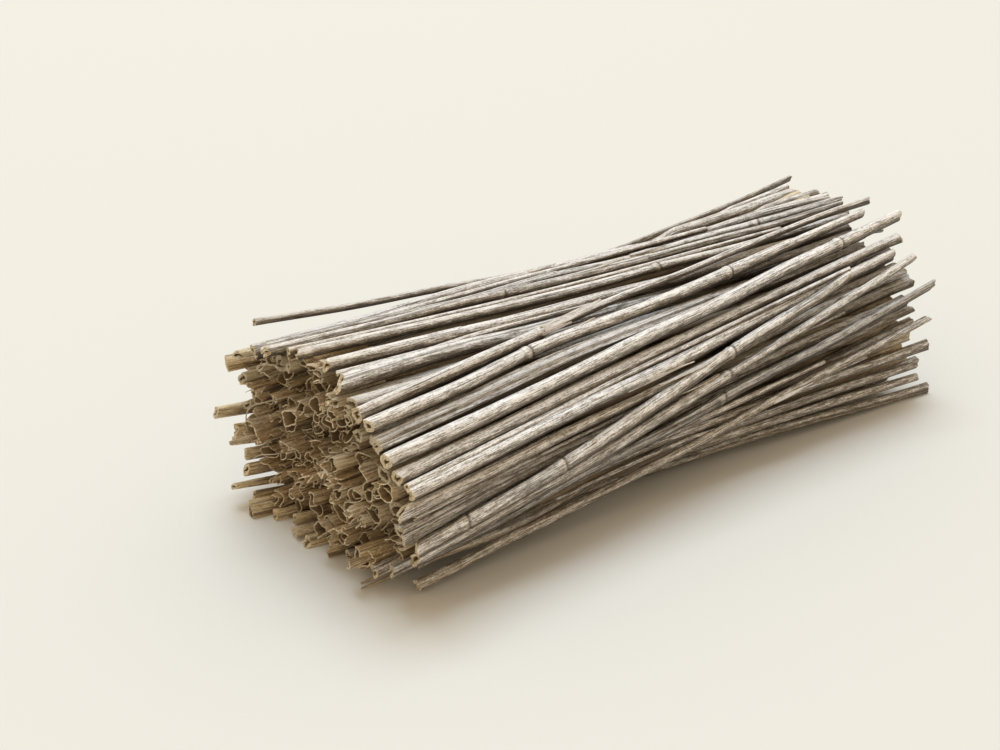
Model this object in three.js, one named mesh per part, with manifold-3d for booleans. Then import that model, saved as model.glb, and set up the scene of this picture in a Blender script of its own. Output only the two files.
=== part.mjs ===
// A bundle of cut rice straw that lies on its side.
// Thin dry stalks run along X between a near cut (-X) and a far cut (+X). They are gathered at a
// slight waist, twist a little about their length and settle into a flat underside on the floor.
// The front of the bundle faces -Y and +Z is up. Angles round the section are in degrees,
// with 0 at the front, 90 on top, 180 at the back and 270 on the floor.
import * as THREE from 'three';
import { mergeVertices } from 'three/addons/utils/BufferGeometryUtils.js';
import Module from 'manifold-3d';

// Driving dimensions of the bundle, in millimetres
const CUT_LENGTH = 160; // mean length between the two cuts
const END_HALF_WIDTH = 33;
const END_HALF_HEIGHT = 26.5;
const AXIS_HEIGHT = 20.2; // centre of the section above the floor, at the ends
const WAIST = 0.91; // section at the waist, as a share of the ends
const WAIST_X = 8;
const WAIST_REACH = 82; // from the waist to where the section is full again
const NEAR_SLANT = 0.07; // how much further the back of the near cut reaches, per millimetre of width
const RAGGED = 4; // how far the tips differ from the cut

// Driving dimensions of a stalk
const GAP = 0.5; // air between neighbouring stalks
const SIDES = 6;
const BEND_STATIONS = 2; // a stalk bends at every second station
const TIP_CLEARANCE = 4; // no bend is nearer to a tip than this
const CORNER = 1.05; // corner of the six-sided section, as a share of the stalk's radius
const FLAT = CORNER * Math.cos(Math.PI / SIDES); // its flat, as a share of the radius
const TAPER = 0.08; // loss of diameter from the near to the far tip
const KNOT_SWELL = 1.14; // swelling of a stalk at a knot
const KNOT_HALF_LENGTH = 1.6;
const HIDDEN_DIAMETERS = [2.4, 3.4]; // thinnest and thickest of the stalks that aren't shown
const HIDDEN_TWIST = 30; // degrees that such a stalk turns between the cuts, half way up

// Stalks that show along the top and the front, from the back of the top down to the floor.
// Each has its two tips along X, its angle round the section and its rise above the bundle's
// surface at the near cut, the middle and the far cut, its diameter, and its knots along X.
const SHOWN = [
  { tips: [-83, 62], turn: [119, 123, 124], rise: [5, 1, -1], diameter: 1.6, knots: [] },
  { tips: [-30, 84], turn: [112, 121, 127], rise: [-3, -1, 5], diameter: 2, knots: [] },
  { tips: [-85, 80], turn: [122, 118, 98], rise: [0, 1, 0.5], diameter: 2.8, knots: [] },
  { tips: [-84, 80], turn: [113, 111, 92], rise: [0, 0, 0.5], diameter: 2.4, knots: [51] },
  { tips: [-87, 78], turn: [102, 97, 86], rise: [1, 0.5, 0.5], diameter: 2.4, knots: [-29] },
  { tips: [-82, 76], turn: [94, 86, 79], rise: [0, 0, 0], diameter: 2, knots: [12] },
  { tips: [-79, 74], turn: [83, 75, 70], rise: [0, -1, -1], diameter: 2.9, knots: [] },
  { tips: [-81, 66], turn: [71, 69, 66], rise: [0, -3, -4], diameter: 3.2, knots: [] },
  { tips: [-80, 34], turn: [62, 65, 68], rise: [-1, -3.5, -4], diameter: 2.8, knots: [] },
  { tips: [-81, 83], turn: [54, 77, 80], rise: [0, 1, 1], diameter: 2.8, knots: [-31] },
  { tips: [-81, 76], turn: [49, 64, 73], rise: [0, 1, 1], diameter: 3, knots: [-38, 25] },
  { tips: [-80, 72], turn: [42, 55, 68], rise: [0, 0, -2], diameter: 4.5, knots: [] },
  { tips: [-80, 86], turn: [34, 52, 66], rise: [0, 1, 1], diameter: 3.4, knots: [60] },
  { tips: [-79, 82], turn: [27, 45, 53], rise: [0, 0, 0], diameter: 2.8, knots: [] },
  { tips: [-78, 77], turn: [17, 33, 49], rise: [1, 0.5, -1], diameter: 3.2, knots: [] },
  { tips: [-81, 78], turn: [11, 20, 34], rise: [0, -3, -3], diameter: 2.8, knots: [] },
  { tips: [-81, 76], turn: [3, 10, 27], rise: [0, -2, -3], diameter: 3, knots: [] },
  { tips: [-77, 56], turn: [-12, 25, 52], rise: [1, 2.5, 3], diameter: 2.9, knots: [-65, -40, 12] },
  { tips: [-76, 80], turn: [-22, 15, 41], rise: [0, 1, 1], diameter: 3, knots: [10] },
  { tips: [-80, 83], turn: [-28, 2, 24], rise: [-1, 0, 0], diameter: 2.8, knots: [9] },
  { tips: [-80, 84], turn: [-44, -12, -14], rise: [-6, -3, -1], diameter: 2.6, knots: [] },
  { tips: [-73, 79], turn: [-46, -17, 8], rise: [4, 1.5, 1], diameter: 2.3, knots: [] },
  { tips: [-78, 85], turn: [-76, -30, -42], rise: [0, 0, 11], diameter: 2.7, knots: [] },
];

// Stalks round the floor side and the back, which follow on from the last one shown
const BACK_COUNT = 22;
const BACK_FIRST = 132;
const BACK_LAST = 302;
// How far the near tips of some of them, counted from the top, stand out from the cut
const BACK_OUT = new Map([[1, 1], [3, 2.5], [8, 2.5], [10, -2], [14, 5.5], [16, 3], [19, 2.5]]);
const BACK_SHORT = 5; // how far the near tips of the others lie behind the cut
const FLOOR_FROM = 215; // from this angle on the stalks lie on the floor and end at the cut

// Stalks of the second layer, which show in the gaps of the first, above the floor side
const UNDER_COUNT = 14;
const UNDER_FIRST = -16;
const UNDER_LAST = 205;
const UNDER_DEPTH = 3.4;
const UNDER_SHORT = 1.5; // how far their near tips lie behind the cut

// Packed stalks of the middle, of which only the cut ends show
const MIDDLE_DEPTH = 7.2; // below the surface of the bundle
const MIDDLE_FLOOR = 4.4;
const MIDDLE_END = 66; // the packed stalks stand apart from here to their tips
const MIDDLE_ROOT = 1; // how deep a single stalk starts inside the packed ones
const MIDDLE_SIDES = 20;
const MIDDLE_SEGMENTS = 6;
const MIDDLE_PITCH = 4.8;
const MIDDLE_DIAMETER = 3.9;
const MIDDLE_SHORT = 2; // how far their tips lie behind the cuts

// Weathered straw: silver grey outside, warm tan where it is less bleached
const GREY_STRAW = new THREE.Color(0xb3a998);
const TAN_STRAW = new THREE.Color(0xa38d68);
const CUT_STRAW = new THREE.Color(0x8d7753);
const STRAW_ROUGHNESS = 0.75;

// Places along X where the stalks are laid against each other
const STATION_STEP = 12;
const STATION_COUNT = 17;
const FIRST_STATION = -96;
const LAST_STATION = FIRST_STATION + STATION_STEP * (STATION_COUNT - 1);
const STATIONS = Array.from({ length: STATION_COUNT }, (_, k) => FIRST_STATION + STATION_STEP * k);

// Settling of the stalks
const ROUNDS = 900;
const CLEARING_ROUNDS = 60; // the last rounds only push the stalks apart
const DRAW = 0.06; // pull towards the place a stalk was laid in, which eases off
const STIFFNESS = 0.5; // pull towards a straight run, which eases off more slowly
const LEAST_DISTANCE = 0.001; // keeps the direction between two stalks from losing its length

const SEED = 20;
const near = -CUT_LENGTH / 2;
const far = CUT_LENGTH / 2;
const random = seededRandom(SEED);

// A repeatable run of numbers from 0 to 1
function seededRandom(seed) {
  const multiplier = 1664525;
  const increment = 1013904223;
  const modulus = 2 ** 32;
  let state = seed;
  return () => {
    state = (state * multiplier + increment) % modulus;
    return state / modulus;
  };
}

function between(low, high) {
  return low + (high - low) * random();
}

// Half width, half height and axis height of the bundle's section at a place along X
function sectionAt(x) {
  const scale = WAIST + (1 - WAIST) * ((x - WAIST_X) / WAIST_REACH) ** 2;
  return {
    halfWidth: END_HALF_WIDTH * scale,
    halfHeight: END_HALF_HEIGHT * scale,
    axis: (AXIS_HEIGHT * (1 + scale)) / 2,
  };
}

// A value at a place along X, on the parabola through its values at the near cut, the middle
// and the far cut
function valueAt([atNear, atMiddle, atFar], x) {
  const along = x / far;
  return atMiddle + ((atFar - atNear) / 2) * along + ((atFar + atNear) / 2 - atMiddle) * along ** 2;
}

// Where a stalk would lie at a place along X if it had no neighbours
function laidPoint(stalk, x) {
  const { halfWidth, halfHeight, axis } = sectionAt(x);
  const angle = THREE.MathUtils.degToRad(valueAt(stalk.turn, x));
  const depth = stalk.diameter / 2 - valueAt(stalk.rise, x);
  const y = -(halfWidth - depth) * Math.cos(angle);
  const z = axis + (halfHeight - depth) * Math.sin(angle);
  return new THREE.Vector2(y, Math.max(z, floorHeight(stalk)));
}

// Height of a stalk's centre when it lies on the floor
function floorHeight(stalk) {
  return (FLAT * stalk.diameter) / 2;
}

// How far a stalk at this angle turns between the cuts: most on the floor side, not at all on top
function twistAt(angle) {
  return HIDDEN_TWIST * (1 - Math.sin(THREE.MathUtils.degToRad(angle)));
}

// A stalk that isn't seen along its length, at a given angle in the middle of the bundle
function hiddenStalk(angle, rise, out) {
  const half = twistAt(angle) / 2;
  const back = END_HALF_WIDTH * (1 - Math.cos(THREE.MathUtils.degToRad(angle)));
  const nearTip = near - NEAR_SLANT * back - out + between(-RAGGED, RAGGED) / 2;
  const farTip = far + between(-RAGGED, RAGGED);
  return {
    tips: [nearTip, farTip],
    turn: [angle - half, angle, angle + half],
    rise: [rise, rise, rise],
    diameter: between(...HIDDEN_DIAMETERS),
    knots: [],
  };
}

// All single stalks, each laid in its place but not yet clear of the others
function layStalks() {
  const stalks = SHOWN.map((stalk) => ({ ...stalk }));
  for (let i = 0; i < BACK_COUNT; i++) {
    const angle = BACK_FIRST + ((BACK_LAST - BACK_FIRST) * i) / (BACK_COUNT - 1);
    stalks.push(hiddenStalk(angle, 0, BACK_OUT.get(i) ?? (angle < FLOOR_FROM ? -BACK_SHORT : 0)));
  }
  for (let i = 0; i < UNDER_COUNT; i++) {
    const angle = UNDER_FIRST + ((UNDER_LAST - UNDER_FIRST) * i) / (UNDER_COUNT - 1);
    stalks.push(hiddenStalk(angle, -UNDER_DEPTH, -UNDER_SHORT));
  }
  for (const stalk of stalks) {
    stalk.laid = STATIONS.map((x) => laidPoint(stalk, x));
    stalk.points = stalk.laid.map((point) => point.clone());
  }
  return stalks;
}

// Whether a stalk has material at, or just past, a place along X
function reaches(stalk, x) {
  return x > stalk.tips[0] - STATION_STEP && x < stalk.tips[1] + STATION_STEP;
}

// Draws a stalk towards its place and straightens it, with its two ends left free
function straighten(stalk, ease) {
  const { points, laid } = stalk;
  const last = points.length - 1;
  for (let k = 0; k < points.length; k++) {
    points[k].lerp(laid[k], DRAW * ease ** 2);
  }
  for (let k = 1; k < last; k++) {
    const middle = points[k - 1].clone().add(points[k + 1]).multiplyScalar(0.5);
    points[k].lerp(middle, STIFFNESS * ease);
  }
  points[0].copy(points[1]).multiplyScalar(2).sub(points[2]);
  points[last].copy(points[last - 1]).multiplyScalar(2).sub(points[last - 2]);
}

// Moves two stalks that are too close at a station away from each other
function pushApart(a, b, k) {
  const apart = b.points[k].clone().sub(a.points[k]);
  const distance = Math.max(apart.length(), LEAST_DISTANCE);
  const overlap = (a.diameter + b.diameter) / 2 + GAP - distance;
  if (overlap > 0) {
    apart.multiplyScalar(overlap / distance / 2);
    a.points[k].sub(apart);
    b.points[k].add(apart);
  }
}

// Keeps a stalk outside the packed middle and above the floor
function keepOut(stalk, k) {
  const point = stalk.points[k];
  const { halfWidth, halfHeight, axis } = sectionAt(STATIONS[k]);
  const room = stalk.diameter / 2 + GAP;
  const y = point.x / (halfWidth - MIDDLE_DEPTH + room);
  const z = (point.y - axis) / (halfHeight - MIDDLE_DEPTH + room);
  const share = Math.hypot(y, z);
  if (share < 1 && point.y < MIDDLE_FLOOR) {
    point.y = Math.min(point.y, MIDDLE_FLOOR - room);
  } else if (share < 1) {
    point.set(point.x / share, axis + (point.y - axis) / share);
  }
  point.y = Math.max(point.y, floorHeight(stalk));
}

// Lets the stalks find their places side by side
function settle(stalks) {
  for (let round = 0; round < ROUNDS; round++) {
    const ease = Math.max(0, 1 - round / (ROUNDS - CLEARING_ROUNDS));
    stalks.forEach((stalk) => straighten(stalk, ease));
    for (let k = 0; k < STATION_COUNT; k++) {
      const present = stalks.filter((stalk) => reaches(stalk, STATIONS[k]));
      for (let i = 0; i < present.length; i++) {
        for (let j = i + 1; j < present.length; j++) {
          pushApart(present[i], present[j], k);
        }
      }
      present.forEach((stalk) => keepOut(stalk, k));
    }
  }
}

// Bends a cylinder so that its rings stand at the given centres, square to X.
// Each ring has a centre and a half width and half height.
function ringSolid(rings, sides) {
  const geometry = new THREE.CylinderGeometry(1, 1, 1, sides, rings.length - 1);
  const position = geometry.getAttribute('position');
  for (let i = 0; i < position.count; i++) {
    const ring = rings[Math.round((position.getY(i) + 0.5) * (rings.length - 1))];
    const y = ring.y + ring.halfWidth * position.getZ(i);
    const z = ring.z + ring.halfHeight * position.getX(i);
    position.setXYZ(i, ring.x, y, Math.max(z, ring.floor ?? z));
  }
  geometry.computeVertexNormals();
  return geometry;
}

// One stalk from tip to tip, with a ring at every bend and three at every knot
function stalkGeometry(stalk) {
  const points = stalk.points.map((point, k) => new THREE.Vector3(STATIONS[k], point.x, point.y));
  const run = new THREE.CatmullRomCurve3(points, false, 'catmullrom', 0.5);
  const [start, end] = stalk.tips;
  const bends = STATIONS.filter((_, k) => k % BEND_STATIONS === 0);
  const inside = bends.filter((x) => x > start + TIP_CLEARANCE && x < end - TIP_CLEARANCE);
  const places = [start, ...inside, end].map((x) => ({ x, swell: 1 }));
  for (const knot of stalk.knots) {
    places.push({ x: knot - KNOT_HALF_LENGTH, swell: 1 });
    places.push({ x: knot, swell: KNOT_SWELL });
    places.push({ x: knot + KNOT_HALF_LENGTH, swell: 1 });
  }
  places.sort((a, b) => a.x - b.x);
  const rings = places.map(({ x, swell }) => {
    const { y, z } = run.getPoint((x - FIRST_STATION) / (LAST_STATION - FIRST_STATION));
    const taper = 1 - (TAPER * (x - start)) / (end - start);
    const radius = ((CORNER * stalk.diameter) / 2) * taper * swell;
    const level = z - floorHeight(stalk) * (1 - taper); // the underside stays level as the stalk tapers
    return { x, y, z: level, halfWidth: radius, halfHeight: radius, floor: 0 };
  });
  return ringSolid(rings, SIDES);
}

// The packed middle as one solid that parts into single stalks towards its ends
async function middleGeometry() {
  const wasm = await Module();
  wasm.setup();
  const solidOf = (geometry) => {
    geometry.deleteAttribute('normal');
    geometry.deleteAttribute('uv');
    const merged = mergeVertices(geometry);
    const vertProperties = merged.getAttribute('position').array;
    const triVerts = new Uint32Array(merged.index.array);
    return new wasm.Manifold(new wasm.Mesh({ numProp: 3, vertProperties, triVerts }));
  };
  const rings = Array.from({ length: MIDDLE_SEGMENTS + 1 }, (_, i) => {
    const x = -MIDDLE_END + (2 * MIDDLE_END * i) / MIDDLE_SEGMENTS;
    return { x, y: 0, ...middleSection(x) };
  });
  let solid = solidOf(ringSolid(rings, MIDDLE_SIDES));
  for (const { y, z } of middlePlaces()) {
    const nearTip = near - NEAR_SLANT * (y + END_HALF_WIDTH) + MIDDLE_SHORT + between(-RAGGED, RAGGED);
    const farTip = far - MIDDLE_SHORT + between(-RAGGED, RAGGED);
    for (const [from, to] of [[nearTip, MIDDLE_ROOT - MIDDLE_END], [MIDDLE_END - MIDDLE_ROOT, farTip]]) {
      const radius = MIDDLE_DIAMETER / 2;
      const ends = [from, to].map((x) => ({ x, y, z, halfWidth: radius, halfHeight: radius }));
      solid = solid.add(solidOf(ringSolid(ends, SIDES)));
    }
  }
  const { vertProperties, triVerts } = solid.getMesh();
  const geometry = new THREE.BufferGeometry();
  geometry.setAttribute('position', new THREE.BufferAttribute(vertProperties, 3));
  geometry.setIndex(new THREE.BufferAttribute(triVerts, 1));
  geometry.computeVertexNormals();
  return geometry;
}

// Section of the packed middle at a place along X
function middleSection(x) {
  const { halfWidth, halfHeight, axis } = sectionAt(x);
  return {
    z: axis,
    halfWidth: halfWidth - MIDDLE_DEPTH,
    halfHeight: halfHeight - MIDDLE_DEPTH,
    floor: MIDDLE_FLOOR,
  };
}

// Places of the packed stalks in the section, in staggered rows
function middlePlaces() {
  const { z: axis, halfWidth, halfHeight } = middleSection(MIDDLE_END);
  const room = MIDDLE_DIAMETER / 2;
  const rowHeight = MIDDLE_PITCH * Math.sin(Math.PI / 3);
  const columns = Math.ceil(halfWidth / MIDDLE_PITCH);
  const places = [];
  for (let row = 0; MIDDLE_FLOOR + room + row * rowHeight < axis + halfHeight; row++) {
    const z = MIDDLE_FLOOR + room + row * rowHeight;
    for (let column = -columns; column <= columns; column++) {
      const y = MIDDLE_PITCH * (column + (row % 2) / 2);
      if (Math.hypot(y / (halfWidth - room), (z - axis) / (halfHeight - room)) < 1) {
        places.push({ y, z });
      }
    }
  }
  return places;
}

function strawMaterial(color) {
  return new THREE.MeshStandardMaterial({ color, roughness: STRAW_ROUGHNESS, metalness: 0 });
}

const stalks = layStalks();
settle(stalks);

const bundle = new THREE.Group();
stalks.forEach((stalk, i) => {
  const color = GREY_STRAW.clone().lerp(TAN_STRAW, random());
  const mesh = new THREE.Mesh(stalkGeometry(stalk), strawMaterial(color));
  mesh.name = `stalk_${String(i + 1).padStart(2, '0')}`;
  bundle.add(mesh);
});
const middle = new THREE.Mesh(await middleGeometry(), strawMaterial(CUT_STRAW));
middle.name = 'middle_stalks';
bundle.add(middle);

// The origin lies on the floor, under the middle of the bundle
const box = new THREE.Box3().setFromObject(bundle);
const centre = box.getCenter(new THREE.Vector3());
bundle.position.set(-centre.x, -centre.y, -box.min.z);

export default bundle;
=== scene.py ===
"""Bundle of rice straw: hollow, weathered stalks laid over the solids of the part, on a pale floor."""

import math

import bpy
import numpy as np
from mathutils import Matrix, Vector


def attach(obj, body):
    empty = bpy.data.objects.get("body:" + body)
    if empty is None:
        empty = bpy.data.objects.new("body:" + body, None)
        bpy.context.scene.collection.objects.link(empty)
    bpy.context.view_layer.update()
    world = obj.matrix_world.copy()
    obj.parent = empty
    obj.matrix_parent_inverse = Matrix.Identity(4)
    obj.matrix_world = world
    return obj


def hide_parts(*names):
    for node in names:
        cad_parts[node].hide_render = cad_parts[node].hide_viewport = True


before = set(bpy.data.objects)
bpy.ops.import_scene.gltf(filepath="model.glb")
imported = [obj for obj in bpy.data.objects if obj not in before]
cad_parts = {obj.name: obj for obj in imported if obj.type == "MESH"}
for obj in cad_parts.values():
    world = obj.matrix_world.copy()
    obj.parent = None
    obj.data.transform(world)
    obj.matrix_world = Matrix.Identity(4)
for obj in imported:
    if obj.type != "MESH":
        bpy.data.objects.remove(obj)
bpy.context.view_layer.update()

# Millimetres to metres
MM = 0.001

# The photograph's view, in metres, and its lens in millimetres on a sensor 36 mm wide
EYE = (-0.19840, -0.22484, 0.16991)
AIM = (-0.03155, -0.00056, 0.02797)
LENS = 50.1
SENSOR = 36.0

# Stalks of the part: first those that the photograph shows (two of them strays), then those behind and below,
# then a second layer
SHOWN = 23
FIRST_LAYER = 45
STALKS = 59
SHOWN_SIDES = 40
HIDDEN_SIDES = 24
SHOWN_STEP = 2.4
HIDDEN_STEP = 5.0
RING_GAP = 0.05
FULLNESS = 0.97
KNOT_SWELL = 1.05
HIDDEN_KNOT_INSET = 25.0
FIRST_REGULAR = 3
SEED = 400
PHASES = (0.0, 6.0)

# Rings beside a cut, at a knot, at a sheath's end and down a hollow, and how far a slanted cut is felt, in mm
CUT_RINGS = np.array([0.22, 0.6, 1.3, 2.4, 4.0])
KNOT_RINGS = np.array(
    [-4.0, -2.6, -1.7, -1.1, -0.7, -0.35, 0.0, 0.3, 0.55, 0.8, 1.05, 1.3, 1.6, 2.1, 3.0, 4.2]
)
STEP_RINGS = np.array([-1.6, -1.0, -0.6, -0.3, 0.0, 0.3, 0.6, 1.0, 1.6])
CLOSEST = 0.16
POCKET = np.array([0.0, 0.35, 1.2, 3.0, 6.0, 10.0])
FAR_POCKET = np.array([0.0, 0.35, 1.5, 5.0])
INNER_POCKET = np.array([0.0, 0.35, 1.2, 3.0, 7.0])
CUT_FADE = 8.0

# Painted light: height of the bundle's axis, how much facing out counts, loose and peeled strips, painted
# shade of the second layer, and near tips
AXIS_HEIGHT = 20.0
OUT_SHARE = 0.4
LOOSE_PAINTED_LIGHT = 0.45
PEEL_PAINTED_LIGHT = 0.95
UNDER_SHADE = 0.72
TIP_PAINTED_LIGHT = 0.35
BACK_TIP_PAINTED_LIGHT = 0.8
TIP_PAINTED_LIGHT_REACH = 12.0

# Golden near tips: how golden those of the shown and of the other stalks are, and how far that reaches
TIP_GOLD = 0.45
BACK_TIP_GOLD = 1.15
GOLD_REACH = 13.0

# Looks of shown stalks: tone from grey (0) to tan (1), shade, height of the ridges, flatness
LOOKS = {
    1: (0.60, 0.86, 0.010, 0.05),
    2: (0.80, 0.84, 0.010, 0.05),
    3: (0.15, 0.96, 0.030, 0.10),
    4: (0.25, 1.00, 0.020, 0.10),
    5: (0.35, 0.98, 0.014, 0.05),
    6: (0.45, 1.02, 0.012, 0.06),
    7: (0.40, 1.06, 0.010, 0.05),
    8: (0.20, 1.04, 0.022, 0.10),
    9: (0.45, 0.86, 0.016, 0.08),
    10: (0.30, 1.00, 0.018, 0.10),
    11: (0.30, 1.06, 0.010, 0.04),
    12: (0.40, 0.84, 0.085, 0.22),
    13: (0.25, 1.08, 0.012, 0.06),
    14: (0.40, 0.94, 0.014, 0.08),
    15: (0.20, 1.14, 0.016, 0.08),
    16: (0.60, 0.96, 0.010, 0.05),
    17: (0.40, 0.72, 0.024, 0.16),
    18: (0.40, 1.06, 0.012, 0.06),
    19: (0.45, 1.00, 0.026, 0.10),
    20: (0.40, 0.74, 0.040, 0.25),
    21: (0.60, 0.94, 0.016, 0.10),
    22: (0.60, 0.96, 0.012, 0.06),
    23: (0.60, 0.90, 0.016, 0.08),
}

# Limits of the looks of the other stalks, in the same order
CHANCE_LOOKS = ((0.6, 1.0), (0.88, 1.08), (0.01, 0.03), (0.04, 0.22))

# Stalks whose sheath is seen to end: the place along the stalk and the sheath's thickness there
SHEATH_ENDS = {10: (-29.5, 0.42), 19: (12.5, 0.3)}
SHEATH_STEP = 0.13

# Stalks inside the bundle: number, radii, stations along it, raggedness, crush at the cuts, strips among them
INNER = 160
INNER_SIDES = 24
INNER_RADII = (1.0, 2.1)
SHEATH_RADII = (2.0, 2.4)
SHEATH_SHARE = 0.14
INNER_STATIONS = np.array([-82.0, -60.0, 0.0, 60.0, 82.0])
INNER_ROUNDS = 320
INNER_GAP = 0.18
INNER_RAGGED = 4.5
INNER_RECESS = 2.0
BACK_RECESS = 5.5
HALF_WIDTH = 33.0
CRUSH = (0.75, 1.1)
CRUSH_REACH = 26.0
FAR_CRUSH_REACH = 10.0
CELL_LIMITS = (0.5, 1.5)
WIDEST_CELL = 2.5
NESTED_SHARE = 0.45
SCRAPS = 40
FOLDS = 75
FOLD_PARTS = 5

# Loose fibres that the photograph shows, each a run of points and a radius, in millimetres
FIBRES = (
    (((-88, 22.4, 19.0), (-80, 22.3, 18.8), (-70, 22.0, 18.2), (-58, 21.0, 17.6)), 0.55),
    (
        (
            (-88, 12.8, 26.1), (-88, 13.1, 28.8), (-88, 12.5, 30.7),
            (-87.5, 10.5, 33.2), (-85, 8, 34.5), (-78, 8, 34),
        ),
        0.14,
    ),
    (((-88, 11.5, 20.2), (-87.5, 8.1, 22.6), (-86, 6.5, 22.9), (-80, 6.5, 22)), 0.13),
    (((-80, -17.5, 1.2), (-76, -18.0, 1.6), (-70, -18.6, 2.4)), 0.32),
    (((-80.6, -18.6, 0.8), (-76, -19.0, 1.1), (-69, -19.2, 2.0)), 0.28),
)
STRAY_FIBRES = 34

# Neighbouring shown stalks with a thin straw in the groove between them
GROOVES = ((3, 4), (5, 6), (7, 8), (14, 15), (16, 17), (20, 21), (21, 22))

# Straws in a widening gap: the stalks beside it, share of the way across, radius, gap where they come up
GAPS = (
    (3, 2, 0.24, 1.5, 11.5),
    (3, 2, 0.46, 1.7, 5.5),
    (3, 2, 0.70, 1.4, 9.5),
    (23, 21, 0.35, 1.2, 5.0),
    (23, 21, 0.65, 1.1, 5.0),
)
BUNDLE_RADIUS = 24.0
STRAW_SIDES = 16

# Peeled strips of sheath: stalk, place, length along it, angle in degrees, width and lift
PEELS = (
    (10, -30, 17, 62, 2.0, 1.5),
    (10, -31, 8, 20, 1.4, 0.9),
    (18, 11, -20, 75, 1.7, 1.9),
    (19, 9, -14, 70, 1.6, 1.2),
    (13, -6, 22, 70, 1.1, 0.5),
    (15, -18, 20, -10, 1.0, 0.8),
)
PEEL_THICKNESS = 0.22
SHORT_PEELS = 9
SHORT_PEEL = ((7.0, 16.0), (10.0, 110.0), (0.5, 1.1), (0.2, 0.8))

# A stalk's bends, thickness and flatness, as reach and size; flattening at the cuts; waves round it
SIDE_BEND = (24.0, 0.26)
UP_BEND = (24.0, 0.2)
THICKNESS = (17.0, 0.045)
TURN = (60.0, 0.25)
FLATNESS = (35.0, 0.04)
PINCH = 0.3
PINCH_REACH = 9.0
FLATTEST = 0.42
WAVES = (3, (2, 4), 30.0, 0.012)
RIDGES = (4, (8, 15), 70.0)
RIPPLE_DRIFT = 0.9
RIPPLE_SIZES = (0.5, 1.2)

# A sheath's edge along a stalk, and its torn end: insets from the cuts, waves, softness and shadow
LAP = 0.13
LAP_MIDDLE = 0.6
LAP_EDGE = 1.2
LAP_DARK = 0.75
LAP_TURN = (60.0, 0.35)
SHEATH_INSETS = (25.0, 15.0)
SHEATH_TEARS = (0.9, 0.5)
SHEATH_EDGE = 0.12
SHEATH_SHADOW = (0.7, 0.25, 0.3)

# A knot's slant and its marks along the stalk: height, middle and width of each
KNOT_SLANT = 0.25
KNOT_BULGE = (0.13, 0.0, 1.1)
KNOT_ROOT = (0.07, 2.4, 1.5)
KNOT_GROOVE = (1.0, 0.85, 0.36)
KNOT_GROOVE_DEPTH = 0.14
KNOT_SCAR = (0.35, -1.5, 0.3)
KNOT_BARE = (0.3, 0.0, 0.9)

# Cuts: thickness of the wall against the radius, slant, tears and splits
WALL_SHARE = (0.5, 0.72)
WALL_CHANGE = 0.05
THINNEST_HOLLOW = 0.2
CUT_SLOPE = 0.26
NEAR_JAG = 0.2
FAR_JAG = 0.22
NOTCHES = (0.0, 1.2)
TEAR_WAVES = (2, 3, 4, 7)
TEAR_SIZE = 2.0
SPLIT_WIDTH = (0.3, 0.8)
SPLIT_DEPTH = (0.3, 1.0)

# Inner stalks: rings, room to the outer stalks, pushes apart, dents, looks, and those nested in them
INNER_NEAR = np.array([0.0, 0.3, 1.0, 2.5, 5.0, 9.0, 15.0, 25.0, 45.0])
INNER_FAR = np.array([35.0, 14.0, 5.0, 1.5, 0.4, 0.0])
START_ROOM = 4.0
EDGE_ROOM = 2.4
INNER_PUSH = 0.35
OUTER_PUSH = 0.5
STRAIGHTEN = 0.1
LEAST_FACING = 0.08
CELL_GAP = 0.12
CELL_SOFT = 0.1
FAR_AWAY = 99.0
TINY = 1e-6
INNER_RIPPLES = ((2, (2, 5), 40.0, 0.03), (3, (6, 11), 60.0, 0.024))
DENT_SHARE = 0.3
DENT_DEPTH = (0.25, 0.5)
DENT_WIDTH = 0.45
INNER_WALL = (0.2, 0.36)
INNER_SLOPE = 0.3
INNER_JAG = 0.26
INNER_NOTCHES = (0.0, 1.2, 2.6)
INNER_LOOKS = ((0.45, 1.0), (0.78, 1.08))
# Painted shade on inner stalks deep inside the bundle: where it starts from the cuts, how far it grows, and
# its greatest
PAINTED_SHADE_FROM = 5.0
PAINTED_SHADE_REACH = 14.0
DEEPEST_PAINTED_SHADE = 0.85
NESTED_RINGS = np.array([-1.2, -0.9, -0.2, 1.3, 3.8, 7.0, 11.0])
NESTED_SHIFT = (-1.5, 3.0)
NESTED_WALL = 0.22
NESTED_LEAST = 0.35
NESTED_FIT = (0.72, 0.95)

# Scraps of sheath: rings, arc, opening, waves and tears; limits of thickness, tone and shade
SCRAP_RINGS = np.array([0.0, 0.4, 1.2, 2.5, 4.0, 6.0, 9.0, 13.0])
SCRAP_COLUMNS = 14
SCRAP_ARC = (2.2, 4.4)
SCRAP_FIT = 1.08
SCRAP_OPENING = (0.0, 0.4)
SCRAP_WAVE = 0.06
SCRAP_TEARS = (0.5, 0.35)
SCRAP_TEAR_REACH = 2.0
SCRAP_LOOKS = ((0.24, 0.34), (0.5, 1.0), (0.85, 1.1))
STRIP_SHIFT = 2.5
OPEN_REACH = 4.0

# Folded strips: rings, folds, tears and flare; limits of thickness, tone and shade
FOLD_RINGS = np.array([0.0, 0.4, 1.2, 2.5, 4.5, 7.5, 11.0])
FOLD_STEPS = 3
FOLD_BENDS = (0.5, 2.0)
FOLD_LENGTHS = (0.5, 1.7)
FOLD_SHIFT = 0.6
FOLD_TEAR = 0.9
FOLD_TEAR_REACH = 3.0
FOLD_FLARE = (-0.1, 0.3)
FOLD_LOOKS = ((0.2, 0.32), (0.5, 1.0), (0.9, 1.15))

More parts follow.
